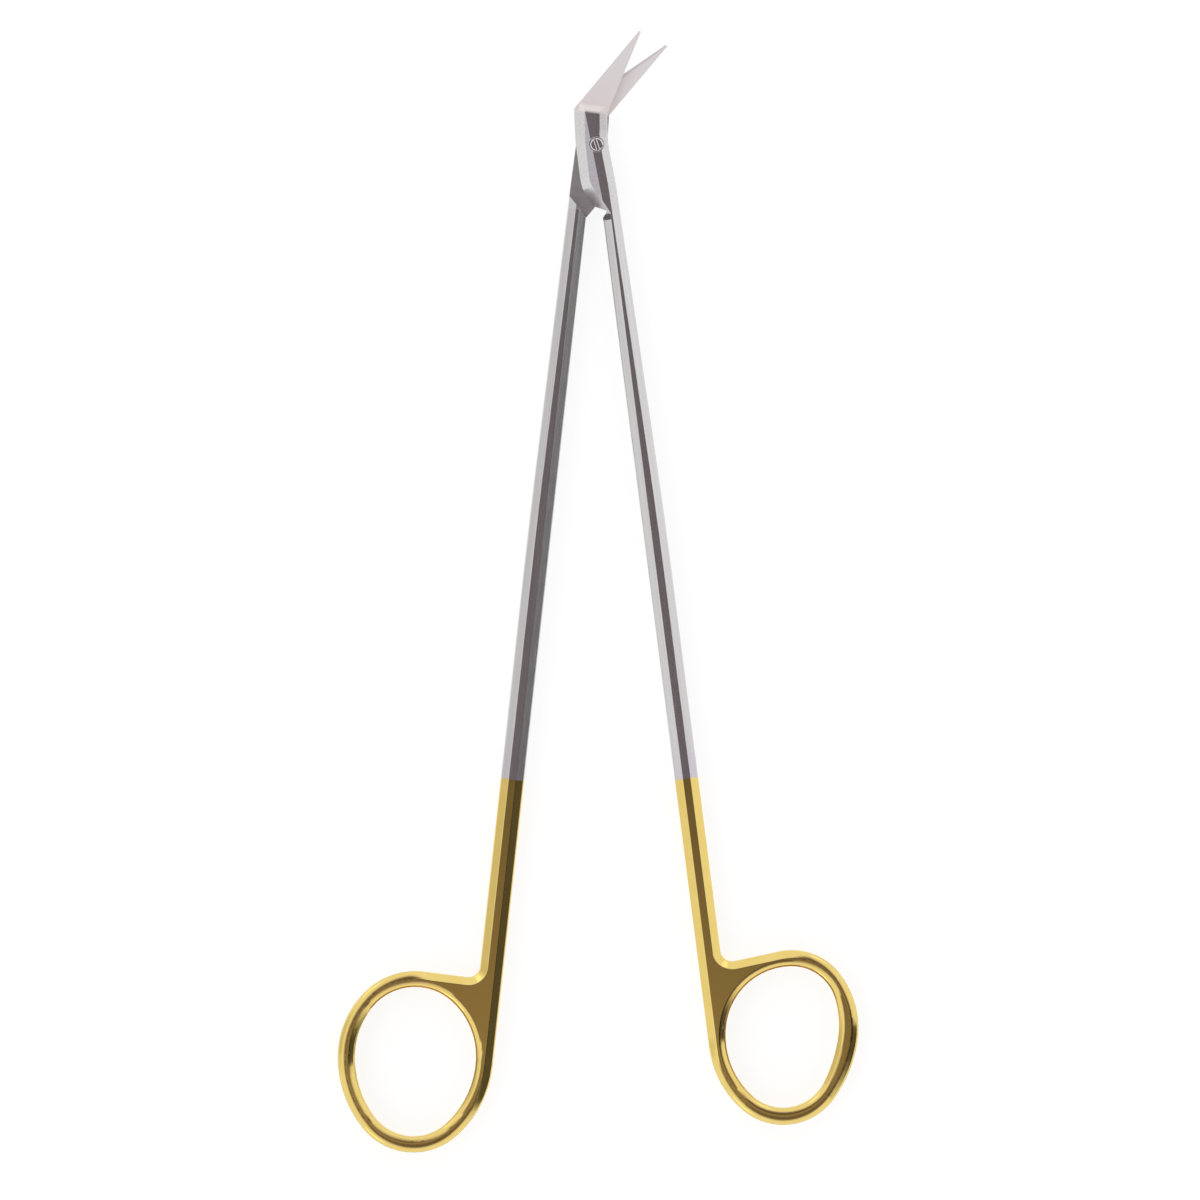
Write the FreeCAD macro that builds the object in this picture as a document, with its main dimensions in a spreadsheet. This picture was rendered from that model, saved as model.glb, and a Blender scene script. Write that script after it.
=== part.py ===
import FreeCAD, Part
import math
import os
import re
import Sketcher
from FreeCAD import Placement, Rotation, Vector

# Angled vascular scissors: two forged halves that lap at a slotted pivot screw, each with a finger
# ring, a faceted shank and a thin blade that bends to the side, and a hard strip on each cutting edge.
#
# Frame of the part: the pivot axis is Z, the resting plane is z = 0, +Y runs from the rings to the
# blades and +X to the right, with the front half on top. The scissors stand partly open.
#
# Frame of a half: its pivot is the origin, its mating face is just above z = 0, the inner edge of its
# shank is parallel to Y and the shank lies on the +X side, as when the scissors are shut. The rear
# half is modelled turned over in the same frame, so one set of functions makes both.
# "Near" is the side of the shank's outer edge, "far" the side across the pivot.

# Millimetres and degrees
SIZES = {
    # both halves
    "thickness": 4.2,
    "mating_gap": 0.03,
    "bevel": 1.3,
    "bevel_depth": 0.97,
    "edge_round": 0.5,
    "crest_round": 0.35,
    # both shanks
    "shank_width": 3.97,
    "taper_end_down": 64.0,
    "taper_round": 1000.0,
    # both rings
    "ring_corner_round": 2.0,
    "ring_crest": 0.25,
    "rim_bevel_share": 0.55,
    # both halves of the lap joint
    "neck_down": 7.0,
    "neck_round": 60.0,
    "waist_round": 20.0,
    "shoulder_near_down": 9.1,
    "shoulder_inner_down": 12.4,
    "notch_up": 0.5,
    "notch_down": 0.5,
    # both blades
    "tip_reach": 20.6,
    "tip_width": 0.35,
    "tip_height": 0.55,
    "blade_angle": 51.0,
    "blade_run": 15.5,
    "heel_run": 1.05,
    "heel_height": 1.25,
    # hard strips along the cutting edges
    "insert_width": 0.85,
    "insert_height": 0.35,
    "insert_heel_gap": 0.9,
    # pivot screw
    "head_diameter": 2.4,
    "head_depth": 0.85,
    "head_clearance": 0.03,
    "head_edge": 0.12,
    "recess_edge": 0.1,
    "shoulder_diameter": 1.7,
    "bore_clearance": 0.03,
    "thread_diameter": 1.6,
    "slot_width": 0.36,
    "slot_depth": 0.4,
    "slot_angle": 18.0,
    # front half: shank and lap joint
    "front_open_angle": 7.29,
    "front_inner": -0.5,
    "front_neck_near": 2.41,
    "front_waist_near": 1.93,
    "front_waist_up": 0.4,
    "front_knee_near": 2.5,
    "front_knee_near_up": 5.08,
    "front_far": 3.48,
    "front_far_up": 1.0,
    "front_far_down": 7.0,
    "front_far_bevel": 1.8,
    "front_far_round": 7.0,
    "front_knee_far": 3.05,
    "front_knee_far_up": 6.5,
    "front_arch_far": 1.9,
    "front_arch_far_down": 10.2,
    "front_arch_inner": 0.35,
    "front_arch_inner_down": 11.35,
    "front_tip_angle": 28.2,
    "crown_slope_angle": 10.0,
    "crown_lean_angle": 3.9,
    "crown_line": 0.85,
    # front half: ring
    "front_ring_top_down": 139.4,
    "front_ring_angle": 16.9,
    "front_web_angle": 5.0,
    "front_hole_inner": 10.6,
    "front_hole_outer": 8.5,
    "front_hole_top": 11.2,
    "front_hole_bottom": 12.95,
    "front_hole_top_round": 7.65,
    "front_hole_bottom_round": 7.7,
    "front_bar_inner": 2.9,
    "front_bar_outer": 3.35,
    "front_bar_top": 2.7,
    "front_bar_bottom": 2.9,
    # rear half: shank and lap joint
    "rear_open_angle": 6.28,
    "rear_inner": 0.42,
    "rear_neck_near": 3.62,
    "rear_waist_near": 3.45,
    "rear_waist_up": 0.4,
    "rear_knee_near": 3.2,
    "rear_knee_near_up": 6.99,
    "rear_far": 1.75,
    "rear_far_up": 1.0,
    "rear_far_down": 7.5,
    "rear_far_bevel": 1.0,
    "rear_far_round": 4.0,
    "rear_knee_far": 1.54,
    "rear_knee_far_up": 5.2,
    "rear_arch_far": 1.0,
    "rear_arch_far_down": 10.1,
    "rear_arch_inner": -0.74,
    "rear_arch_inner_down": 10.7,
    "rear_tip_angle": 28.85,
    # rear half: ring
    "rear_ring_top_down": 142.4,
    "rear_ring_angle": 4.2,
    "rear_web_angle": 1.0,
    "rear_hole_inner": 10.45,
    "rear_hole_outer": 10.1,
    "rear_hole_top": 11.75,
    "rear_hole_bottom": 13.6,
    "rear_hole_top_round": 9.3,
    "rear_hole_bottom_round": 8.2,
    "rear_bar_inner": 2.9,
    "rear_bar_outer": 2.9,
    "rear_bar_top": 2.65,
    "rear_bar_bottom": 2.75,
}

# Two lengths nearer than this are taken as equal
CLOSE = 1e-3
# Past the knee the lap joint first runs on by these shares, of its own side and of the blade's
LAP_OVERRUN = 1.6
BLADE_OVERLAP = 0.2
# The rims of the finger holes are bevelled at this angle, in degrees
RIM_ANGLE = 45.0

doc = FreeCAD.newDocument("AngledVascularScissors")
sheet = doc.addObject("Spreadsheet::Sheet", "Sizes")
for row, (name, value) in enumerate(SIZES.items(), start=1):
    sheet.set(f"A{row}", name)
    sheet.set(f"B{row}", str(value))
    sheet.setAlias(f"B{row}", name)
doc.recompute()


def cells(text):
    """A formula with each size's name pointed at its cell of the sheet."""
    return re.sub(r"[a-z_]+", lambda word: f"Sizes.{word[0]}" if word[0] in SIZES else word[0], text)


def number(text):
    """What a formula comes to with the sheet's present sizes."""
    return float(sheet.evalExpression(cells(text)))


def bind(thing, **formulas):
    """Ties properties to formulas, so that they follow the sheet."""
    for name, formula in formulas.items():
        thing.setExpression(name, cells(formula))


def new_sketch(body, name, plane="XY_Plane"):
    sketch = body.newObject("Sketcher::SketchObject", name)
    base = next(face for face in body.Origin.OriginFeatures if face.Role == plane)
    sketch.AttachmentSupport = (base, "")
    sketch.MapMode = "FlatFace"
    return sketch


def place_sketch(sketch, x="0", y="0", height="0", turn="0", axis=Vector(0, 0, 1)):
    """Moves a sketch in its plane, lifts it off it and turns it, about its own normal if not told."""
    sketch.setExpression(".AttachmentOffset.Base.x", cells(x))
    sketch.setExpression(".AttachmentOffset.Base.y", cells(y))
    sketch.setExpression(".AttachmentOffset.Base.z", cells(height))
    sketch.AttachmentOffset = Placement(Vector(), Rotation(axis, 1))
    sketch.setExpression(".AttachmentOffset.Rotation.Angle", cells(turn))


def constrain(sketch, kind, target, formula):
    index = sketch.addConstraint(Sketcher.Constraint(kind, *target, number(formula)))
    sketch.setExpression(f"Constraints[{index}]", cells(formula))


def draw_outline(sketch, corners, closed=True):
    """Straight sides between corners given by two formulas, or three where the corner is rounded.

    The ends of an open outline are left free, to be held by what joins on."""
    points = [Vector(number(corner[0]), number(corner[1]), 0) for corner in corners]
    count = len(points)
    arrive = list(points)
    leave = list(points)
    arcs = {}
    for index, corner in enumerate(corners):
        if len(corner) == 2:
            continue
        radius = number(corner[2])
        to_last = (points[index - 1] - points[index]).normalize()
        to_next = (points[(index + 1) % count] - points[index]).normalize()
        half_angle = to_last.getAngle(to_next) / 2
        arrive[index] = points[index] + to_last * (radius / math.tan(half_angle))
        leave[index] = points[index] + to_next * (radius / math.tan(half_angle))
        centre = points[index] + (to_last + to_next).normalize() * (radius / math.sin(half_angle))
        turns_left = to_last.cross(to_next).z < 0
        first, second = (arrive, leave) if turns_left else (leave, arrive)
        arcs[index] = (new_arc(centre, radius, first[index], second[index]), turns_left)
    sides = count if closed else count - 1
    for index in range(sides):
        sketch.addGeometry(Part.LineSegment(leave[index], arrive[(index + 1) % count]))
    for index in range(0 if closed else 1, sides):
        corner = corners[index]
        before, after = (index - 1) % count, index
        if index not in arcs:
            sketch.addConstraint(Sketcher.Constraint("Coincident", before, 2, after, 1))
            constrain(sketch, "DistanceX", (after, 1), corner[0])
            constrain(sketch, "DistanceY", (after, 1), corner[1])
            continue
        shape, turns_left = arcs[index]
        arc = sketch.addGeometry(shape)
        first, second = (1, 2) if turns_left else (2, 1)
        sketch.addConstraint(Sketcher.Constraint("Tangent", before, 2, arc, first))
        sketch.addConstraint(Sketcher.Constraint("Tangent", after, 1, arc, second))
        constrain(sketch, "Radius", (arc,), corner[2])
        mark = sketch.addGeometry(Part.Point(points[index]), True)
        constrain(sketch, "DistanceX", (mark, 1), corner[0])
        constrain(sketch, "DistanceY", (mark, 1), corner[1])
        sketch.addConstraint(Sketcher.Constraint("PointOnObject", mark, 1, before))
        sketch.addConstraint(Sketcher.Constraint("PointOnObject", mark, 1, after))


def new_arc(centre, radius, start, end):
    """The arc that runs anticlockwise from start to end."""
    angles = [math.atan2(point.y - centre.y, point.x - centre.x) for point in (start, end)]
    if angles[1] < angles[0]:
        angles[1] += 2 * math.pi
    return Part.ArcOfCircle(Part.Circle(centre, Vector(0, 0, 1), radius), *angles)


def oval_frame(sizes):
    """Centres, radii and joints of an oval's six tangent arcs: one above, one below, two a side."""
    inner, outer, top, bottom, top_round, bottom_round = (number(size) for size in sizes)
    centre, radius, joint = {}, {}, {}
    for up, reach, end_radius in ((1, top, top_round), (-1, bottom, bottom_round)):
        offset = reach - end_radius
        centre[up] = Vector(0, up * offset, 0)
        radius[up] = end_radius
        for side, width in ((1, outer), (-1, inner)):
            side_radius = (offset**2 + width**2 - end_radius**2) / (2 * (width - end_radius))
            flank = centre[side, up] = Vector(side * (width - side_radius), 0, 0)
            radius[side, up] = side_radius
            joint[side, up] = flank + (centre[up] - flank).normalize() * side_radius
    joint[1] = Vector(outer, 0, 0)
    joint[-1] = Vector(-inner, 0, 0)
    return centre, radius, joint


def draw_oval(sketch, sizes):
    """A whole oval about the sketch's own axes."""
    centre, radius, joint = oval_frame(sizes)
    ring = [(1, 1), 1, (-1, 1), (-1, -1), -1, (1, -1)]
    ends = [joint[1], joint[1, 1], joint[-1, 1], joint[-1], joint[-1, -1], joint[1, -1], joint[1]]
    for index, key in enumerate(ring):
        sketch.addGeometry(new_arc(centre[key], radius[key], ends[index], ends[index + 1]))
    for index in range(6):
        sketch.addConstraint(Sketcher.Constraint("Tangent", index, 2, (index + 1) % 6, 1))
    for index, axis in ((0, -1), (1, -2), (2, -1), (3, -1), (4, -2), (5, -1)):
        sketch.addConstraint(Sketcher.Constraint("PointOnObject", index, 3, axis))
    inner, outer, top, bottom, top_round, bottom_round = sizes
    constrain(sketch, "Radius", (1,), top_round)
    constrain(sketch, "Radius", (4,), bottom_round)
    constrain(sketch, "DistanceY", (1, 3), f"{top} - ({top_round})")
    constrain(sketch, "DistanceY", (4, 3), f"{bottom_round} - ({bottom})")
    constrain(sketch, "DistanceX", (0, 1), outer)
    constrain(sketch, "DistanceX", (2, 2), f"-({inner})")


def extrude(body, kind, sketch, length, reverse=False, both_ways=False):
    """A pad or a pocket of the sketch; both_ways centres the length on the sketch."""
    feature = body.newObject(f"PartDesign::{kind}", f"{sketch.Name}_{kind}")
    feature.Profile = sketch
    feature.SideType = "Symmetric" if both_ways else "One side"
    feature.Reversed = reverse
    bind(feature, Length=length)
    return feature


def edges_where(shape, test):
    return [f"Edge{index}" for index, edge in enumerate(shape.Edges, start=1) if test(edge)]


def middle(edge):
    return edge.valueAt((edge.FirstParameter + edge.LastParameter) / 2)


def is_level(edge, height):
    box = edge.BoundBox
    return abs(box.ZMin - height) < CLOSE and abs(box.ZMax - height) < CLOSE


def dress(body, kind, name, test, size):
    """A fillet or a chamfer on the edges of the body's last shape that pass the test."""
    doc.recompute()
    base = body.Tip
    chosen = edges_where(base.Shape, test)
    if not chosen:
        raise ValueError(f"no edge for {name}")
    feature = body.newObject(f"PartDesign::{kind}", name)
    feature.Base = (base, chosen)
    bind(feature, **{"Radius" if kind == "Fillet" else "Size": size})
    return feature


def oval_sizes(half, with_bar):
    """The six sizes of a ring's hole, or of its outline, as formulas."""
    words = ("inner", "outer", "top", "bottom", "top_round", "bottom_round")
    bars = ("inner", "outer", "top", "bottom", "top", "bottom")
    hole = [f"{half}_hole_{word}" for word in words]
    return [f"({size} + {half}_bar_{bar})" for size, bar in zip(hole, bars)] if with_bar else hole


def ring_places(half):
    """The ring's centre and where its outline meets the shank's inner edge and the web's top edge."""
    inner, outer, top, bottom, top_round, bottom_round = oval_sizes(half, True)
    drop = f"({bottom} - {bottom_round})"
    flank = f"(({drop}^2 + {inner}^2 - {bottom_round}^2) / (2 * ({inner} - {bottom_round})))"
    rise = f"({top} - {top_round})"
    tilt = f"{half}_ring_angle"
    slope = f"{half}_web_angle"
    near = f"({half}_inner + shank_width)"
    x = f"({half}_inner + {flank} - ({flank} - {inner}) * cos({tilt}))"
    y = f"(-{half}_ring_top_down - {top_round} - {rise} * cos({tilt}))"
    web_x = f"({x} + {rise} * sin({tilt}) - {top_round} * sin({slope}))"
    web_y = f"({y} + {rise} * cos({tilt}) + {top_round} * cos({slope}))"
    return {
        "centre": (x, y),
        "outer": (f"{x} + {outer} * cos({tilt})", f"{y} - {outer} * sin({tilt})"),
        "top": (f"{x} + {rise} * sin({tilt})", f"{y} + {rise} * cos({tilt})"),
        "bottom": (f"{x} - {drop} * sin({tilt})", f"{y} - {drop} * cos({tilt})"),
        "inner_touch": (f"{half}_inner", f"{y} - ({flank} - {inner}) * sin({tilt})"),
        "web_touch": (web_x, web_y),
        "web_corner": (near, f"{web_y} - ({web_x} - {near}) * tan({slope})", "ring_corner_round"),
    }


def draw_ring(sketch, half, web_side):
    """The outline round the ring, from the end of the web's top edge to the foot of side 0."""
    places = ring_places(half)
    spot = {name: Vector(number(place[0]), number(place[1]), 0) for name, place in places.items()}
    centre, radius, joint = oval_frame(oval_sizes(half, True))
    tilt = Rotation(Vector(0, 0, 1), -number(f"{half}_ring_angle"))
    ring = [1, (1, 1), (1, -1), -1, (-1, -1)]
    ends = [spot["centre"] + tilt.multVec(joint[key]) for key in ((1, 1), 1, (1, -1), (-1, -1))]
    ends = [spot["web_touch"], *ends, spot["inner_touch"]]
    arcs = []
    for index, key in enumerate(ring):
        middle_point = spot["centre"] + tilt.multVec(centre[key])
        arcs.append(sketch.addGeometry(new_arc(middle_point, radius[key], ends[index + 1], ends[index])))
    axis = sketch.addGeometry(Part.LineSegment(spot["centre"], spot["outer"]), True)
    sketch.addConstraint(Sketcher.Constraint("Tangent", web_side, 2, arcs[0], 2))
    for before, after in zip(arcs, arcs[1:]):
        sketch.addConstraint(Sketcher.Constraint("Tangent", before, 1, after, 2))
    sketch.addConstraint(Sketcher.Constraint("Tangent", arcs[4], 1, 0, 1))
    sketch.addConstraint(Sketcher.Constraint("Coincident", arcs[1], 1, axis, 2))
    sketch.addConstraint(Sketcher.Constraint("PointOnObject", arcs[1], 3, axis))
    sketch.addConstraint(Sketcher.Constraint("PointOnObject", arcs[4], 3, axis))
    sizes = oval_sizes(half, True)
    constrain(sketch, "Radius", (arcs[0],), sizes[4])
    constrain(sketch, "Radius", (arcs[3],), sizes[5])
    held = {"centre": (axis, 1), "outer": (axis, 2), "top": (arcs[0], 3), "bottom": (arcs[3], 3)}
    for name, target in held.items():
        constrain(sketch, "DistanceX", target, places[name][0])
        constrain(sketch, "DistanceY", target, places[name][1])
    constrain(sketch, "DistanceX", (0, 1), f"{half}_inner")


def blade_tip(half, side):
    """The two corners of the blade's blunt end, the back's and the cutting edge's."""
    x = f"{side} * tip_reach * sin({half}_tip_angle)"
    y = f"tip_reach * cos({half}_tip_angle)"
    across_x = "tip_width / 2 * sin(blade_angle)"
    across_y = f"{side} * tip_width / 2 * cos(blade_angle)"
    return (f"{x} - {across_x}", f"{y} + {across_y}"), (f"{x} + {across_x}", f"{y} - {across_y}")


def insert_corners(half, side):
    """The hard strip's outline along the cutting edge, from above the knee to the blunt end."""
    far, near = blade_tip(half, side)
    run_x, run_y = f"({near[0]} - {half}_knee_near)", f"({near[1]} - {half}_knee_near_up)"
    run = f"sqrt({run_x}^2 + {run_y}^2)"
    heel_x = f"{half}_knee_near + insert_heel_gap * {run_x} / {run}"
    heel_y = f"{half}_knee_near_up + insert_heel_gap * {run_y} / {run}"
    inner_heel = (f"{heel_x} - insert_width * {run_y} / {run}", f"{heel_y} + insert_width * {run_x} / {run}")
    inner_tip = (f"({near[0]} + {far[0]}) / 2", f"({near[1]} + {far[1]}) / 2")
    return [(heel_x, heel_y), inner_heel, inner_tip, near]


def beyond_knee(half, side):
    """The lap joint's corners past the knee, to be cut off above the blade afterwards.

    They follow the blade where it turns away, and run on straight where it turns back over them."""
    far, near = blade_tip(half, side)
    knee_far = (f"-{half}_knee_far", f"{half}_knee_far_up")
    knee_near = (f"{half}_knee_near", f"{half}_knee_near_up")
    waist_far = (f"-{half}_far", f"{half}_far_up")
    waist_near = (f"{half}_waist_near", f"{half}_waist_up")

    def further(start, goal, share):
        return tuple(f"{first} + {share} * ({last} - ({first}))" for first, last in zip(start, goal))

    if side > 0:
        return [
            knee_far,
            further(knee_far, far, BLADE_OVERLAP),
            further(waist_near, knee_near, LAP_OVERRUN),
        ]
    return [
        further(waist_far, knee_far, LAP_OVERRUN),
        further(knee_near, near, BLADE_OVERLAP),
        knee_near,
    ]


def is_below_taper(edge, height):
    """An edge of the lower shank or the ring, at this height above or below the mid plane."""
    level = is_level(edge, height) or is_level(edge, -height)
    return level and middle(edge).y < -number("taper_end_down")


def bevel_shank(body, half, height):
    """The bevel along the shank and round the ring, wider along the face than it is deep.

    One arc of the outline is chosen, and the smooth chain of edges follows."""
    foot_round = number(oval_sizes(half, True)[-1])

    def is_ring_foot(edge):
        arc = edge.Curve
        return is_level(edge, height) and hasattr(arc, "Radius") and abs(arc.Radius - foot_round) < CLOSE

    doc.recompute()
    base = body.Tip
    feature = body.newObject("PartDesign::Chamfer", f"{half}_bevel_{'above' if height > 0 else 'below'}")
    feature.Base = (base, edges_where(base.Shape, is_ring_foot)[:1])
    feature.ChamferType = "Two distances"
    bind(feature, Size="bevel", Size2="bevel_depth")
    doc.recompute()
    ridge = math.copysign(abs(height) - number("bevel_depth"), height)
    if not any(is_level(edge, ridge) for edge in feature.Shape.Edges):
        feature.FlipDirection = True


def make_half(half, side):
    """One forging in its own frame; side is 1 where its blade bends to the near side, else -1."""
    body = doc.addObject("PartDesign::Body", f"{half}_half")
    ring = ring_places(half)
    top = "thickness / 2"
    foot = [ring["inner_touch"], (f"{half}_inner", "-shoulder_inner_down")]
    lap = [
        (f"{half}_arch_inner", f"-{half}_arch_inner_down"),
        (f"-{half}_arch_far", f"-{half}_arch_far_down"),
        (f"-{half}_far", f"-{half}_far_down", f"{half}_far_round"),
        (f"-{half}_far", f"{half}_far_up", "waist_round"),
        *beyond_knee(half, side),
        (f"{half}_waist_near", f"{half}_waist_up", "waist_round"),
        (f"{half}_neck_near", "-neck_down", "neck_round"),
    ]
    taper = f"({half}_inner + shank_width - {half}_neck_near) / (taper_end_down - neck_down)"
    shoulder = [(f"{half}_neck_near + {taper} * (shoulder_near_down - neck_down)", "-shoulder_near_down")]
    shank = [
        (f"{half}_inner + shank_width", "-taper_end_down", "taper_round"),
        ring["web_corner"],
        ring["web_touch"],
    ]

    # Shank, ring and half of the lap joint above the mating face
    upper = new_sketch(body, f"{half}_upper")
    place_sketch(upper, height="mating_gap / 2")
    corners = foot + lap + shank
    draw_outline(upper, corners, closed=False)
    draw_ring(upper, half, len(corners) - 2)
    extrude(body, "Pad", upper, "thickness / 2 - mating_gap / 2")

    # Shank and ring below it, cut off along the slanted shoulder
    lower = new_sketch(body, f"{half}_lower")
    place_sketch(lower, height="mating_gap / 2")
    corners = foot + shoulder + shank
    draw_outline(lower, corners, closed=False)
    draw_ring(lower, half, len(corners) - 2)
    extrude(body, "Pad", lower, "thickness / 2 + mating_gap / 2", reverse=True)

    # Notch where the inner bevel runs out under the lap joint, as far as the middle of the shank
    notch = new_sketch(body, f"{half}_notch")
    place_sketch(notch, height=top)
    near_edge = f"{half}_neck_near + {taper} * (shoulder_inner_down - neck_down)"
    near_side = f"({half}_inner + {near_edge}) / 2"
    far_side = f"{half}_inner - bevel / 2"
    low = "-shoulder_inner_down - notch_down"
    high = "-shoulder_inner_down + notch_up"
    draw_outline(notch, [(far_side, low), (near_side, low), (near_side, high), (far_side, high)])
    extrude(body, "Pocket", notch, "bevel_depth + crest_round")

    # Bevels along the shank and round the ring, on both faces, with both of their ridges rounded
    half_height = number(top)
    ridge = half_height - number("bevel_depth")
    bevel_shank(body, half, half_height)
    bevel_shank(body, half, -half_height)
    dress(body, "Fillet", f"{half}_crests", lambda edge: is_below_taper(edge, half_height), "crest_round")
    dress(body, "Fillet", f"{half}_ridges", lambda edge: is_below_taper(edge, ridge), "edge_round")

    # Bevel along the far side of the lap joint
    far_line = -number(f"{half}_arch_far") + CLOSE
    far_foot = -number(f"{half}_arch_far_down")
    far_knee = number(f"{half}_knee_far_up")

    def on_far_side(edge):
        spot = middle(edge)
        return is_level(edge, half_height) and spot.x < far_line and far_foot < spot.y < far_knee

    dress(body, "Chamfer", f"{half}_far_bevels", on_far_side, f"{half}_far_bevel")

    # Slope that ends the lap joint's crown at the knee, with all beyond it cut away
    knee_rise = f"({half}_knee_near_up - {half}_knee_far_up)"
    knee_turn = f"90 deg + atan({knee_rise} / ({half}_knee_near + {half}_knee_far))"

    def cut_past_knee(name, profile):
        sketch = new_sketch(body, f"{half}_{name}", "XZ_Plane")
        place_sketch(sketch, f"{half}_knee_near", "0", f"-{half}_knee_near_up", knee_turn, Vector(0, 1, 0))
        draw_outline(sketch, profile)
        extrude(body, "Pocket", sketch, "2 * tip_reach", both_ways=True)

    heel = ("heel_run", "heel_height")
    slope = [("0", "thickness"), ("0", top), heel, ("heel_run", "-thickness")]
    cut_past_knee("knee", slope + [("blade_run", "-thickness"), ("blade_run", "thickness")])

    # Blade, tapered in thickness from its heel to its tip
    blade = new_sketch(body, f"{half}_blade")
    place_sketch(blade, height="mating_gap / 2")
    knee_near = (f"{half}_knee_near", f"{half}_knee_near_up")
    knee_far = (f"-{half}_knee_far", f"{half}_knee_far_up")
    draw_outline(blade, [knee_near, knee_far, *blade_tip(half, side)])
    extrude(body, "Pad", blade, "heel_height - mating_gap / 2")
    cut_past_knee("blade_taper", [heel, ("blade_run", "tip_height"), ("blade_run", "heel_height")])

    # Finger hole, its rims bevelled and rounded over to the ring's crest
    hole = new_sketch(body, f"{half}_hole")
    place_sketch(hole, *ring["centre"], turn=f"-{half}_ring_angle")
    draw_oval(hole, oval_sizes(half, False))
    extrude(body, "Pocket", hole, "2 * thickness", both_ways=True)
    doc.recompute()
    hole_line = hole.Shape
    rim = f"({half}_bar_top - bevel - ring_crest)"
    rim_bevel = f"{rim} * rim_bevel_share"

    def is_round_hole(edge, distance):
        spot = middle(edge)
        level = is_level(edge, half_height) or is_level(edge, -half_height)
        return level and abs(hole_line.distToShape(Part.Vertex(spot.x, spot.y, 0))[0] - distance) < CLOSE

    dress(body, "Chamfer", f"{half}_rims", lambda edge: is_round_hole(edge, 0), rim_bevel)
    rim_round = f"({rim} - {rim_bevel}) / tan({RIM_ANGLE / 2})"
    reach = number(rim_bevel)
    dress(body, "Fillet", f"{half}_rim_crests", lambda edge: is_round_hole(edge, reach), rim_round)

    # Seat of the hard strip in the mating face
    seat = new_sketch(body, f"{half}_seat")
    place_sketch(seat, height="mating_gap / 2")
    draw_outline(seat, insert_corners(half, side))
    extrude(body, "Pocket", seat, "insert_height", reverse=True)
    return body


def make_insert(half, side):
    """The hard strip that fills its seat."""
    body = doc.addObject("PartDesign::Body", f"{half}_cutting_insert")
    outline = new_sketch(body, f"{half}_insert_outline")
    place_sketch(outline, height="mating_gap / 2")
    draw_outline(outline, insert_corners(half, side))
    extrude(body, "Pad", outline, "insert_height")
    return body


def draw_circle(sketch, diameter):
    sketch.addGeometry(Part.Circle(Vector(), Vector(0, 0, 1), number(diameter) / 2))
    sketch.addConstraint(Sketcher.Constraint("Coincident", 0, 3, -1, 1))
    constrain(sketch, "Diameter", (0,), diameter)


def round_step(body, name, kind, diameter, height, length, **options):
    """A round pad or pocket about the pivot axis, from a height along the length."""
    sketch = new_sketch(body, name)
    place_sketch(sketch, height=height)
    draw_circle(sketch, diameter)
    return extrude(body, kind, sketch, length, **options)


halves = {half: make_half(half, side) for half, side in (("front", 1), ("rear", -1))}
inserts = {half: make_insert(half, side) for half, side in (("front", 1), ("rear", -1))}

# Facet that falls from the front crown to the far bevel
front = halves["front"]
crown = new_sketch(front, "front_crown", "XZ_Plane")
place_sketch(crown, turn="crown_lean_angle", axis=Vector(0, 1, 0))
crown_end = "-crown_line - 2 * front_far"
crown_fall = "thickness / 2 - 2 * front_far * tan(crown_slope_angle)"
draw_outline(crown, [("-crown_line", "thickness / 2"), (crown_end, "thickness / 2"), (crown_end, crown_fall)])
extrude(front, "Pocket", crown, "2 * shoulder_inner_down", both_ways=True)

# Bore for the screw's shoulder and recess for its head
bore = "shoulder_diameter + 2 * bore_clearance"
recess = "head_diameter + 2 * bore_clearance"
round_step(front, "front_bore", "Pocket", bore, "thickness / 2", "thickness")
round_step(front, "front_recess", "Pocket", recess, "thickness / 2", "head_depth")


def on_recess_rim(edge):
    spot = middle(edge)
    near_top = edge.BoundBox.ZMin > number("thickness / 2 - head_depth / 2")
    return near_top and abs(math.hypot(spot.x, spot.y) - number(recess) / 2) < CLOSE


dress(front, "Chamfer", "front_recess_edge", on_recess_rim, "recess_edge")

# Threaded bore in the rear half
round_step(halves["rear"], "rear_bore", "Pocket", "thread_diameter", "thickness / 2", "thickness")

# Slotted pivot screw: head, shoulder that runs in the front half, thread in the rear half
screw = doc.addObject("PartDesign::Body", "pivot_screw")
head_height = "head_depth - head_clearance"
round_step(screw, "screw_head", "Pad", "head_diameter", "thickness / 2", head_height, reverse=True)
head_foot = "thickness / 2 - head_depth + head_clearance + mating_gap / 2"
round_step(screw, "screw_shoulder", "Pad", "shoulder_diameter", "-mating_gap / 2", head_foot)
round_step(screw, "screw_thread", "Pad", "thread_diameter", "-thickness / 2", "thickness / 2")
screw_top = number("thickness / 2")
dress(screw, "Chamfer", "screw_head_edge", lambda edge: is_level(edge, screw_top), "head_edge")
slot = new_sketch(screw, "screw_slot")
place_sketch(slot, height="thickness / 2", turn="slot_angle")
slot_corners = [
    ("-slot_width / 2", "-head_diameter"),
    ("slot_width / 2", "-head_diameter"),
    ("slot_width / 2", "head_diameter"),
    ("-slot_width / 2", "head_diameter"),
]
draw_outline(slot, slot_corners)
extrude(screw, "Pocket", slot, "slot_depth")

# Stance: the rear half is turned over, and each half swings open to its own side
parts = {"pivot_screw": screw}
for half, side in (("front", 1), ("rear", -1)):
    for thing in (halves[half], inserts[half]):
        parts[thing.Label] = thing
        swing = f"create(<<rotation>>; create(<<vector>>; 0; 0; 1); {side} * {half}_open_angle)"
        if half == "rear":
            swing += " * create(<<rotation>>; create(<<vector>>; 0; 1; 0); 180)"
        bind(thing, Placement=f"create(<<placement>>; create(<<vector>>; 0; 0; thickness / 2); {swing})")
bind(screw, **{"Placement.Base.z": "thickness / 2"})
doc.recompute()

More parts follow.
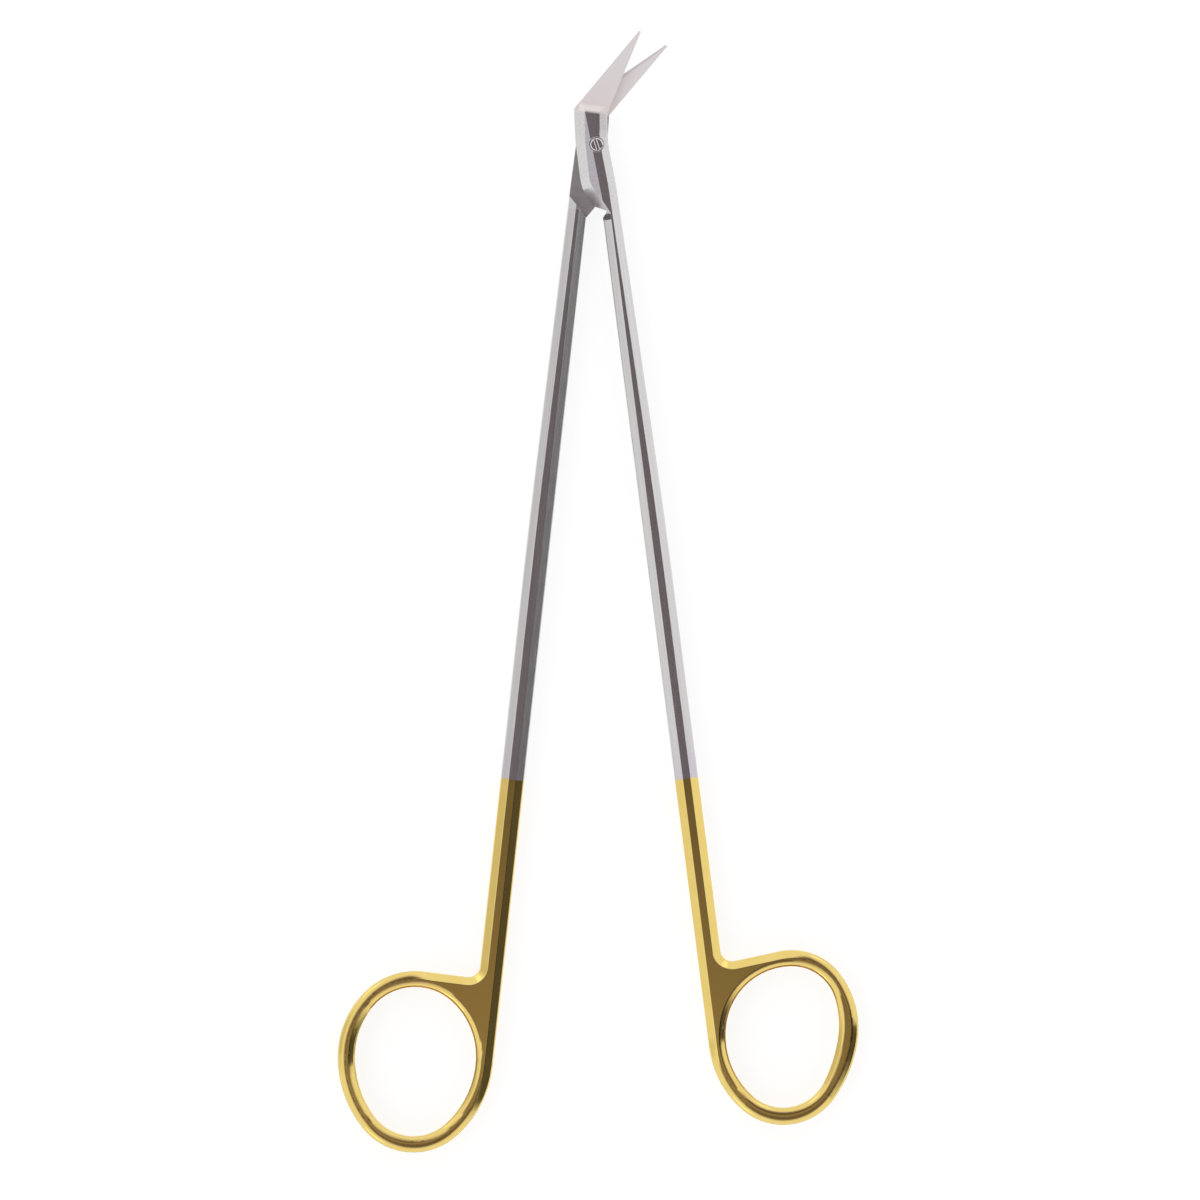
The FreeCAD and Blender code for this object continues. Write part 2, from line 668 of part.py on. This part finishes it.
for thing in doc.Objects:
    if "Invalid" in thing.State or "Error" in thing.State:
        raise RuntimeError(f"{thing.Label} failed: {thing.State}")
os.makedirs("parts", exist_ok=True)
for label, thing in parts.items():
    if thing.Shape.isNull() or not thing.Shape.isValid():
        raise RuntimeError(f"{label} has no valid shape")
    thing.Shape.exportStep(f"parts/{label}.step")
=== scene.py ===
import math

import bmesh
import bpy
from mathutils import Matrix, Vector

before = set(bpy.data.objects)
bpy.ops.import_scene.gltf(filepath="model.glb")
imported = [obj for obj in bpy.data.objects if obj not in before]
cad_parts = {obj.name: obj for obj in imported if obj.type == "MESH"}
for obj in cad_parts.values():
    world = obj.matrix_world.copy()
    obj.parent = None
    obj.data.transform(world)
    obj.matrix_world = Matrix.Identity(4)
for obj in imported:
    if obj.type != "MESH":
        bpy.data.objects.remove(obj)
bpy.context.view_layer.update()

# Angled vascular scissors: satin steel lock and shanks, pale matt blades, polished gold on the handles.
# The pivot is at the origin, +Y runs to the blades and +Z to the viewer.
# Lengths are in metres, but in millimetres for the outline of the finger rings.

# The gold starts at this distance from the pivot, with this soft edge
PLATING_START = 0.1085
PLATING_EDGE = 0.0002
# The steel has a faint violet cast over this length next to the gold
CAST_LENGTH = 0.012
# The lock is brushed crosswise as far as this from the pivot
LOCK_REACH = 0.0122
# The matt finish starts this far past the knee, fades in over this width and greys towards the tip
MATT_START = -0.0005
MATT_EDGE = 0.0006
TIP_GREYING = (0.001, 0.009)

# The two halves: how far each is swung open, the two corners at the knee where its blade bends off,
# how rough its lap is, and its finger ring. A ring lies on the right (1) or on the left (-1) and is an
# oval of tangent arcs, given in the half's own frame.
FRONT = {
    "swing": math.radians(7.29),
    "knee": ((0.00184, 0.00535), (-0.00384, 0.00606)),
    "lap_roughness": 0.18,
    "ring_side": 1,
    "ring_centre": (13.143, -153.147),
    "ring_turn": math.radians(16.9),
    "ring_outline": {
        "Shank Side": 13.5,
        "Far Side": 11.85,
        "Top": 13.9,
        "Bottom": 15.85,
        "Top Round": 10.35,
        "Bottom Round": 10.6,
    },
}
REAR = {
    "swing": math.radians(-6.28),
    "knee": ((-0.00242, 0.00730), (0.00210, 0.00500)),
    "lap_roughness": 0.29,
    "ring_side": -1,
    "ring_centre": (13.783, -156.793),
    "ring_turn": math.radians(4.2),
    "ring_outline": {
        "Shank Side": 13.35,
        "Far Side": 13.0,
        "Top": 14.4,
        "Bottom": 16.35,
        "Top Round": 11.95,
        "Bottom Round": 10.95,
    },
}
# The bevel round a ring, how softly its inner ridge blends, and how far inside the outline the bar may reach
RING_BEVEL = 1.3
RIDGE_BLEND = 0.18
BAR_REACH = 6.0
# The rounding lifts the bevel's slope by this share and drops it again by this much, most at the outline
SLOPE_LIFT = 0.93
EDGE_DROP = 0.87
EDGE_POWER = 1.9
# The rounding fades out where the ring's outline runs into the web and into the shank's foot
WEB_FADE = (-3.0, 2.0)
FOOT_FADE = (-9.0, -3.0)

# The screw's head and where its dome falls off, its slot, and the width and the drop of the slot's lips
HEAD_RADIUS = 0.0012
DOME_FADE = (HEAD_RADIUS * 0.72, HEAD_RADIUS * 1.1)
SLOT_TURN = math.radians(18.0)
SLOT_HALF = 0.00018
LIP_WIDTH = 0.00014
LIP_DROP = 0.3

# The lines of the brushing, each with its stretch and its scale, and the scale of the cloudiness
SCRATCH_LINES = (0.03, 9000.0)
STREAK_LINES = (0.012, 2600.0)
CLOUD_SCALE = 260.0
# How deep the bumps go: the scratches, the screw's head, and a ring's rounding, which is in millimetres
SCRATCH_DEPTH = 0.00002
HEAD_DEPTH = 0.0002
MILLIMETRE = 0.001

# Metals, each from its darker to its lighter places
STEEL = ((0.60, 0.585, 0.585, 1), (0.76, 0.745, 0.745, 1))
VIOLET_STEEL = (0.62, 0.57, 0.66, 1)
MATT_STEEL = ((0.91, 0.83, 0.815, 1), (0.98, 0.91, 0.89, 1))
MATT_TIP = (0.93, 0.91, 0.89, 1)
GOLD = ((0.80, 0.595, 0.165, 1), (0.88, 0.68, 0.24, 1))
SCREW_STEEL = ((0.66, 0.63, 0.64, 1), (0.84, 0.81, 0.82, 1))
HARD_METAL = ((0.76, 0.71, 0.715, 1), (0.88, 0.83, 0.83, 1))
# How strongly the violet cast and the greyer tip show at most
CAST_SHARE = 0.5
TIP_SHARE = 0.7
# How rough each finish is at least, and how much its scratches or its cloudiness add
SATIN_ROUGHNESS = (0.16, 0.12)
MATT_ROUGHNESS = (0.64, 0.12)
GOLD_ROUGHNESS = (0.08, 0.06)
SCREW_ROUGHNESS = (0.16, 0.1)
HARD_METAL_ROUGHNESS = (0.56, 0.12)
# The steel, the gold and the screw are all metal. The paler matt finishes scatter much of the light.
MATT_METALLIC = 0.18
HARD_METAL_METALLIC = 0.4

FLOAT, VECTOR, COLOUR = "NodeSocketFloat", "NodeSocketVector", "NodeSocketColor"


def place(tree, kind, **settings):
    node = tree.nodes.new(kind)
    for key, value in settings.items():
        setattr(node, key, value)
    return node


def plug(tree, value, socket):
    """Links an output to the socket, or sets the socket to a plain value."""
    if isinstance(value, bpy.types.NodeSocket):
        tree.links.new(value, socket)
    else:
        socket.default_value = value


def calc(tree, operation, first, second=None, third=None):
    node = place(tree, "ShaderNodeMath", operation=operation)
    for socket, value in zip(node.inputs, (first, second, third)):
        if value is not None:
            plug(tree, value, socket)
    return node.outputs[0]


def move(tree, operation, first, second):
    """Vector arithmetic that gives a vector."""
    node = place(tree, "ShaderNodeVectorMath", operation=operation)
    plug(tree, first, node.inputs[0])
    plug(tree, second, node.inputs[1])
    return node.outputs["Vector"]


def dot(tree, vector, direction):
    node = place(tree, "ShaderNodeVectorMath", operation="DOT_PRODUCT")
    plug(tree, vector, node.inputs[0])
    plug(tree, direction, node.inputs[1])
    return node.outputs["Value"]


def size(tree, vector):
    node = place(tree, "ShaderNodeVectorMath", operation="LENGTH")
    tree.links.new(vector, node.inputs[0])
    return node.outputs["Value"]


def parts(tree, vector):
    """The X, Y and Z of a vector."""
    node = place(tree, "ShaderNodeSeparateXYZ")
    tree.links.new(vector, node.inputs[0])
    return node.outputs[0], node.outputs[1], node.outputs[2]


def turned(tree, vector, angle):
    node = place(tree, "ShaderNodeVectorRotate", rotation_type="Z_AXIS")
    tree.links.new(vector, node.inputs["Vector"])
    plug(tree, angle, node.inputs["Angle"])
    return node.outputs["Vector"]


def vary(tree, mask, base, added):
    """The base value, and the mask's share of what is added to it."""
    return calc(tree, "MULTIPLY_ADD", mask, added, base)


def mix_colour(tree, factor, first, second, blend="MIX"):
    node = place(tree, "ShaderNodeMix", data_type="RGBA", blend_type=blend)
    for index, value in ((0, factor), (6, first), (7, second)):
        plug(tree, value, node.inputs[index])
    return node.outputs[2]


def mix_value(tree, factor, first, second):
    node = place(tree, "ShaderNodeMix", data_type="FLOAT")
    for index, value in ((0, factor), (2, first), (3, second)):
        plug(tree, value, node.inputs[index])
    return node.outputs[0]


def ease(tree, value, low, high):
    """Rises smoothly from 0 at low to 1 at high."""
    node = place(tree, "ShaderNodeMapRange", interpolation_type="SMOOTHSTEP")
    tree.links.new(value, node.inputs["Value"])
    node.inputs["From Min"].default_value = low
    node.inputs["From Max"].default_value = high
    return node.outputs[0]


def fall(tree, value, low, high):
    """Falls smoothly from 1 at low to 0 at high."""
    return calc(tree, "SUBTRACT", 1.0, ease(tree, value, low, high))


def noise(tree, vector, scale, detail):
    node = place(tree, "ShaderNodeTexNoise")
    tree.links.new(vector, node.inputs["Vector"])
    node.inputs["Scale"].default_value = scale
    node.inputs["Detail"].default_value = detail
    return node.outputs["Fac"]


def bump(tree, height, distance, strength=1.0, below=None):
    """A bump of the height, laid over another bump's normal where one is given."""
    node = place(tree, "ShaderNodeBump")
    node.inputs["Distance"].default_value = distance
    node.inputs["Strength"].default_value = strength
    tree.links.new(height, node.inputs["Height"])
    if below is not None:
        tree.links.new(below, node.inputs["Normal"])
    return node.outputs["Normal"]


def new_group(name, inputs, outputs):
    """A shader node group with the named sockets, and the sockets inside it that bring and take values."""
    group = bpy.data.node_groups.new(name, "ShaderNodeTree")
    for way, sockets in (("INPUT", inputs), ("OUTPUT", outputs)):
        for label, kind in sockets.items():
            group.interface.new_socket(label, in_out=way, socket_type=kind)
    given = place(group, "NodeGroupInput").outputs
    results = place(group, "NodeGroupOutput").inputs
    return group, given, results


def add_group(tree, group, values):
    """Places a group in a material with its own values, and gives its outputs."""
    node = place(tree, "ShaderNodeGroup", node_tree=group)
    for label, value in values.items():
        plug(tree, value, node.inputs[label])
    return node.outputs


def brushing_group():
    """Fine scratches and wider streaks along Y once turned, and a slow cloudiness of the finish.

    Nearer to the pivot than Cross Reach they run the other way."""
    group, given, results = new_group(
        "brushing",
        {"Place": VECTOR, "Turn": FLOAT, "Cross Reach": FLOAT},
        {"Scratch": FLOAT, "Streak": FLOAT, "Cloud": FLOAT},
    )
    crosswise = calc(group, "LESS_THAN", size(group, given["Place"]), given["Cross Reach"])
    angle = calc(group, "MULTIPLY_ADD", crosswise, math.pi / 2, given["Turn"])
    along = turned(group, given["Place"], angle)
    for label, (stretch, scale) in (("Scratch", SCRATCH_LINES), ("Streak", STREAK_LINES)):
        drawn_out = move(group, "MULTIPLY", along, (1.0, stretch, 1.0))
        group.links.new(noise(group, drawn_out, scale, 4.0), results[label])
    group.links.new(noise(group, given["Place"], CLOUD_SCALE, 5.0), results["Cloud"])
    return group


def half_finish_group():
    """Satin steel, with a matt blade past the knee and polished gold on the handle."""
    group, given, results = new_group(
        "finish of a half",
        {
            "Place": VECTOR,
            "Scratch": FLOAT,
            "Streak": FLOAT,
            "Cloud": FLOAT,
            "Blade Way": VECTOR,
            "Blade Start": FLOAT,
            "Lap Roughness": FLOAT,
        },
        {"Colour": COLOUR, "Metallic": FLOAT, "Roughness": FLOAT, "Relief": FLOAT},
    )
    scratch, streak, cloud = given["Scratch"], given["Streak"], given["Cloud"]

    # Where each finish lies
    reach = size(group, given["Place"])
    lock = calc(group, "LESS_THAN", reach, LOCK_REACH)
    ragged = calc(group, "ADD", reach, calc(group, "MULTIPLY", cloud, PLATING_EDGE))
    plated = ease(group, ragged, PLATING_START, PLATING_START + PLATING_EDGE)
    cast = ease(group, ragged, PLATING_START - CAST_LENGTH, PLATING_START)
    past = calc(group, "SUBTRACT", dot(group, given["Place"], given["Blade Way"]), given["Blade Start"])
    blade = ease(group, past, 0.0, MATT_EDGE)
    tip = ease(group, past, *TIP_GREYING)

    steel = mix_colour(group, streak, *STEEL)
    steel = mix_colour(group, calc(group, "MULTIPLY", cast, CAST_SHARE), steel, VIOLET_STEEL)
    matt = mix_colour(group, cloud, *MATT_STEEL)
    matt = mix_colour(group, calc(group, "MULTIPLY", tip, TIP_SHARE), matt, MATT_TIP)
    colour = mix_colour(group, blade, steel, matt)
    colour = mix_colour(group, plated, colour, mix_colour(group, cloud, *GOLD))
    group.links.new(colour, results["Colour"])
    group.links.new(mix_value(group, blade, 1.0, MATT_METALLIC), results["Metallic"])

    satin, scratched = SATIN_ROUGHNESS
    rough = vary(group, scratch, mix_value(group, lock, satin, given["Lap Roughness"]), scratched)
    rough = mix_value(group, blade, rough, vary(group, cloud, *MATT_ROUGHNESS))
    rough = mix_value(group, plated, rough, vary(group, cloud, *GOLD_ROUGHNESS))
    group.links.new(rough, results["Roughness"])
    group.links.new(mix_value(group, plated, scratch, 0.5), results["Relief"])
    return group


def ring_rounding_group():
    """Height in millimetres that rounds the flat bevel along a ring's outline over to the crest.

    Centre is the oval's centre and Turn brings its long axis to Y. Side mirrors the ring on the left."""
    outline = ("Shank Side", "Far Side", "Top", "Bottom", "Top Round", "Bottom Round")
    group, given, results = new_group(
        "rounding of a ring",
        {"Place": VECTOR, "Centre": VECTOR, "Turn": FLOAT, "Side": FLOAT, **dict.fromkeys(outline, FLOAT)},
        {"Height": FLOAT},
    )
    in_millimetres = move(group, "MULTIPLY", given["Place"], (1000.0, 1000.0, 0.0))
    from_centre = turned(group, move(group, "SUBTRACT", in_millimetres, given["Centre"]), given["Turn"])
    x, v = parts(group, from_centre)[:2]
    u = calc(group, "MULTIPLY", x, given["Side"])

    # The arcs of the quarter that the place is in: the end's, and the flank's that touches it
    low, near = calc(group, "LESS_THAN", v, 0.0), calc(group, "LESS_THAN", u, 0.0)
    width = mix_value(group, near, given["Far Side"], given["Shank Side"])
    end = mix_value(group, low, given["Top Round"], given["Bottom Round"])
    rise = calc(group, "SUBTRACT", mix_value(group, low, given["Top"], given["Bottom"]), end)
    squares = calc(group, "MULTIPLY_ADD", rise, rise, calc(group, "MULTIPLY", width, width))
    squares = calc(group, "SUBTRACT", squares, calc(group, "MULTIPLY", end, end))
    flank = calc(group, "DIVIDE", squares, calc(group, "MULTIPLY", calc(group, "SUBTRACT", width, end), 2.0))
    shift = calc(group, "SUBTRACT", flank, width)

    # How far outside the outline the place is
    u_size, v_size = calc(group, "ABSOLUTE", u), calc(group, "ABSOLUTE", v)
    over_end = calc(group, "SUBTRACT", v_size, rise)
    distances = []
    for side, up, radius in ((calc(group, "ADD", u_size, shift), v_size, flank), (u_size, over_end, end)):
        square = calc(group, "MULTIPLY_ADD", up, up, calc(group, "MULTIPLY", side, side))
        distances.append(calc(group, "SUBTRACT", calc(group, "SQRT", square), radius))
    slant = calc(group, "MULTIPLY", rise, u_size)
    at_end = calc(group, "GREATER_THAN", calc(group, "MULTIPLY", shift, over_end), slant)
    outside = mix_value(group, at_end, *distances)

    # The slope is taken back at the bevel's inner ridge and grows towards the outline
    out = calc(group, "ADD", outside, RING_BEVEL)
    lift = calc(group, "MULTIPLY", calc(group, "SMOOTH_MAX", out, 0.0, RIDGE_BLEND), SLOPE_LIFT)
    share = calc(group, "DIVIDE", calc(group, "MAXIMUM", out, 0.0), RING_BEVEL)
    drop = calc(group, "MULTIPLY", calc(group, "POWER", share, EDGE_POWER), EDGE_DROP)
    height = calc(group, "SUBTRACT", lift, drop)
    free = calc(group, "MAXIMUM", ease(group, u, *WEB_FADE), fall(group, v, *FOOT_FADE))
    on_ring = calc(group, "GREATER_THAN", outside, -BAR_REACH)
    height = calc(group, "MULTIPLY", height, calc(group, "MULTIPLY", free, on_ring))
    group.links.new(height, results["Height"])
    return group


BRUSHING = brushing_group()
HALF_FINISH = half_finish_group()
RING_ROUNDING = ring_rounding_group()


def new_material(name):
    """A material with its shader, its tree and the place on the object as a vector."""
    material = bpy.data.materials.new(name)
    material.use_nodes = True
    tree = material.node_tree
    where = place(tree, "ShaderNodeTexCoord").outputs["Object"]
    return material, tree, tree.nodes["Principled BSDF"], where


def half_material(name, half):
    """Steel, matt blade and gold of one forging, with its finger ring rounded over."""
    material, tree, surface, where = new_material(name)
    swing, side = half["swing"], half["ring_side"]
    brush = add_group(tree, BRUSHING, {"Place": where, "Turn": -swing, "Cross Reach": LOCK_REACH})
    near, far = (Vector((*corner, 0.0)) for corner in half["knee"])
    blade_way = Vector((near.y - far.y, far.x - near.x, 0.0)).normalized()
    if blade_way.y < 0:
        blade_way.negate()
    finish = add_group(
        tree,
        HALF_FINISH,
        {
            "Place": where,
            "Scratch": brush["Scratch"],
            "Streak": brush["Streak"],
            "Cloud": brush["Cloud"],
            "Blade Way": blade_way,
            "Blade Start": blade_way.dot(near) + MATT_START,
            "Lap Roughness": half["lap_roughness"],
        },
    )
    tree.links.new(finish["Colour"], surface.inputs["Base Color"])
    tree.links.new(finish["Metallic"], surface.inputs["Metallic"])
    tree.links.new(finish["Roughness"], surface.inputs["Roughness"])

    x, y = half["ring_centre"]
    rounding = add_group(
        tree,
        RING_ROUNDING,
        {
            "Place": where,
            "Centre": Matrix.Rotation(swing, 3, "Z") @ Vector((side * x, y, 0.0)),
            "Turn": side * half["ring_turn"] - swing,
            "Side": side,
            **half["ring_outline"],
        },
    )
    rounded = bump(tree, rounding["Height"], MILLIMETRE)
    scratched = bump(tree, finish["Relief"], SCRATCH_DEPTH, 0.5, rounded)
    tree.links.new(scratched, surface.inputs["Normal"])
    return material


def screw_material():
    """Satin steel, the head turned slightly domed and its slot's lips rounded."""
    material, tree, surface, where = new_material("screw steel")
    brush = add_group(tree, BRUSHING, {"Place": where, "Turn": SLOT_TURN, "Cross Reach": 0.0})
    tree.links.new(mix_colour(tree, brush["Streak"], *SCREW_STEEL), surface.inputs["Base Color"])
    surface.inputs["Metallic"].default_value = 1.0
    tree.links.new(vary(tree, brush["Cloud"], *SCREW_ROUGHNESS), surface.inputs["Roughness"])

    out = size(tree, move(tree, "MULTIPLY", where, (1.0, 1.0, 0.0)))
    slot_way = (math.cos(SLOT_TURN), math.sin(SLOT_TURN), 0.0)
    from_slot = calc(tree, "ABSOLUTE", dot(tree, where, slot_way))
    dome = fall(tree, out, *DOME_FADE)
    lip = vary(tree, ease(tree, from_slot, SLOT_HALF, SLOT_HALF + LIP_WIDTH), 1.0 - LIP_DROP, LIP_DROP)
    tree.links.new(bump(tree, calc(tree, "MULTIPLY", dome, lip), HEAD_DEPTH), surface.inputs["Normal"])
    return material


def insert_material(name, turn):
    """Ground hard metal, a shade greyer than the matt blade round it."""
    material, tree, surface, where = new_material(name)
    brush = add_group(tree, BRUSHING, {"Place": where, "Turn": turn, "Cross Reach": 0.0})
    tree.links.new(mix_colour(tree, brush["Scratch"], *HARD_METAL), surface.inputs["Base Color"])
    surface.inputs["Metallic"].default_value = HARD_METAL_METALLIC
    tree.links.new(vary(tree, brush["Cloud"], *HARD_METAL_ROUGHNESS), surface.inputs["Roughness"])
    return material


def dress(node, material):
    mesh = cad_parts[node].data
    mesh.materials.clear()
    mesh.materials.append(material)


dress("front_half", half_material("front steel and gold", FRONT))
dress("rear_half", half_material("rear steel and gold", REAR))
dress("pivot_screw", screw_material())
dress("front_cutting_insert", insert_material("front hard metal", math.radians(40.0)))
dress("rear_cutting_insert", insert_material("rear hard metal", math.radians(60.0)))


def make_floor():
    """A white table that still takes the object's soft shadow."""
    mesh = bpy.data.meshes.new("floor")
    shape = bmesh.new()
    bmesh.ops.create_grid(shape, x_segments=1, y_segments=1, size=4.0)
    shape.to_mesh(mesh)
    shape.free()
    floor = bpy.data.objects.new("floor", mesh)
    bpy.context.collection.objects.link(floor)

    material = bpy.data.materials.new("white table")
    material.use_nodes = True
    tree = material.node_tree
    tree.nodes.remove(tree.nodes["Principled BSDF"])
    paper = place(tree, "ShaderNodeBsdfDiffuse")
    paper.inputs["Color"].default_value = (0.32, 0.32, 0.32, 1)
    glow = place(tree, "ShaderNodeEmission")
    glow.inputs["Strength"].default_value = 0.8
    both = place(tree, "ShaderNodeAddShader")
    tree.links.new(paper.outputs[0], both.inputs[0])
    tree.links.new(glow.outputs[0], both.inputs[1])
    tree.links.new(both.outputs[0], tree.nodes["Material Output"].inputs["Surface"])
    mesh.materials.append(material)


# The light is a soft white tent. Each patch in it has a direction, a list of angles in degrees from
# there with the tint at each, and a stretch, which makes the patch longer along an axis where it is under 1.
WHITE = (1.0, 1.0, 1.0)
EVEN = (1.0, 1.0, 1.0)


def towards(azimuth, height):
    """The direction at an azimuth from +X and a height over the horizon, in degrees."""
    turn, rise = math.radians(azimuth), math.radians(height)
    return (math.cos(turn) * math.cos(rise), math.sin(turn) * math.cos(rise), math.sin(rise))


def lamp(azimuth, height, strength):
    """A small lamp behind the cloth."""
    glow = (strength, strength, strength * 0.96)
    return towards(azimuth, height), [(0, glow), (5, glow), (13, WHITE)], EVEN


DARK_OVERHEAD = [
    (0, (0.12, 0.105, 0.11)),
    (9, (0.15, 0.125, 0.13)),
    (16, (0.30, 0.25, 0.28)),
    (24, (0.74, 0.70, 0.80)),
    (36, WHITE),
]
WARM_OVER_THE_RINGS = [(0, (3.2, 3.0, 2.2)), (2.5, (3.2, 3.0, 2.2)), (5, WHITE)]
DIM_ON_THE_LEFT = [(0, (0.72, 0.71, 0.70)), (8, (0.74, 0.73, 0.72)), (24, WHITE)]
PATCHES = [
    ((0.06, 0.0, 1.0), DARK_OVERHEAD, (1.0, 0.45, 1.0)),
    ((0.0, -0.105, 1.0), WARM_OVER_THE_RINGS, EVEN),
    (towards(170, 10), DIM_ON_THE_LEFT, (1.0, 1.0, 0.5)),
    lamp(132, 18, 1.4),
    lamp(62, 18, 1.3),
    lamp(232, 24, 1.5),
]
# A dark curtain hangs low on the right: its two edges as azimuths in radians, its foot as a height, its tint
CURTAIN_START = (-0.8, -0.3)
CURTAIN_END = (-0.05, 0.05)
CURTAIN_FOOT = (0.08, 0.18)
CURTAIN_TINT = (0.09, 0.085, 0.085, 1)


def patch(tree, direction, light, centre, stops, stretch):
    """Tints the light round one direction."""
    unit = place(tree, "ShaderNodeVectorMath", operation="NORMALIZE")
    tree.links.new(move(tree, "MULTIPLY", direction, stretch), unit.inputs[0])
    near = dot(tree, unit.outputs["Vector"], Vector(centre).normalized())
    angle = calc(tree, "ARCCOSINE", calc(tree, "MINIMUM", near, 1.0))
    widest = stops[-1][0]
    ramp = place(tree, "ShaderNodeValToRGB")
    tree.links.new(calc(tree, "DIVIDE", angle, math.radians(widest)), ramp.inputs["Fac"])
    ramp.color_ramp.interpolation = "EASE"
    points = ramp.color_ramp.elements
    while len(points) < len(stops):
        points.new(0.5)
    for point, (degrees, tint) in zip(points, stops):
        point.position = degrees / widest
        point.color = (*tint, 1)
    return mix_colour(tree, 1.0, light, ramp.outputs["Color"], "MULTIPLY")


def make_world():
    world = bpy.data.worlds.new("tent")
    bpy.context.scene.world = world
    world.use_nodes = True
    tree = world.node_tree
    direction = place(tree, "ShaderNodeTexCoord").outputs["Generated"]
    light = (*WHITE, 1)
    for centre, stops, stretch in PATCHES:
        light = patch(tree, direction, light, centre, stops, stretch)

    x, y, z = parts(tree, direction)
    azimuth = calc(tree, "ARCTAN2", y, x)
    curtain = calc(tree, "MULTIPLY", ease(tree, azimuth, *CURTAIN_START), ease(tree, z, *CURTAIN_FOOT))
    curtain = calc(tree, "MULTIPLY", curtain, fall(tree, azimuth, *CURTAIN_END))
    hung = mix_colour(tree, 1.0, light, CURTAIN_TINT, "MULTIPLY")
    light = mix_colour(tree, curtain, light, hung)

    # The camera itself sees plain white
    path = place(tree, "ShaderNodeLightPath")
    light = mix_colour(tree, path.outputs["Is Camera Ray"], light, (*WHITE, 1))
    back = tree.nodes["Background"]
    tree.links.new(light, back.inputs["Color"])
    back.inputs["Strength"].default_value = 1.0


# The camera looks straight down through a long lens, over this point and this width of the table
CAMERA_PLACE = (0.000576, -0.0771, 1.5)
FOCUS_HEIGHT = 0.0035
VIEW_WIDTH = 0.20316


def make_camera():
    data = bpy.data.cameras.new("camera")
    data.sensor_width = 36.0
    data.lens = data.sensor_width * (CAMERA_PLACE[2] - FOCUS_HEIGHT) / VIEW_WIDTH
    camera = bpy.data.objects.new("camera", data)
    camera.location = CAMERA_PLACE
    bpy.context.collection.objects.link(camera)
    bpy.context.scene.camera = camera


make_floor()
make_world()
make_camera()
bpy.context.scene.view_settings.view_transform = "Standard"
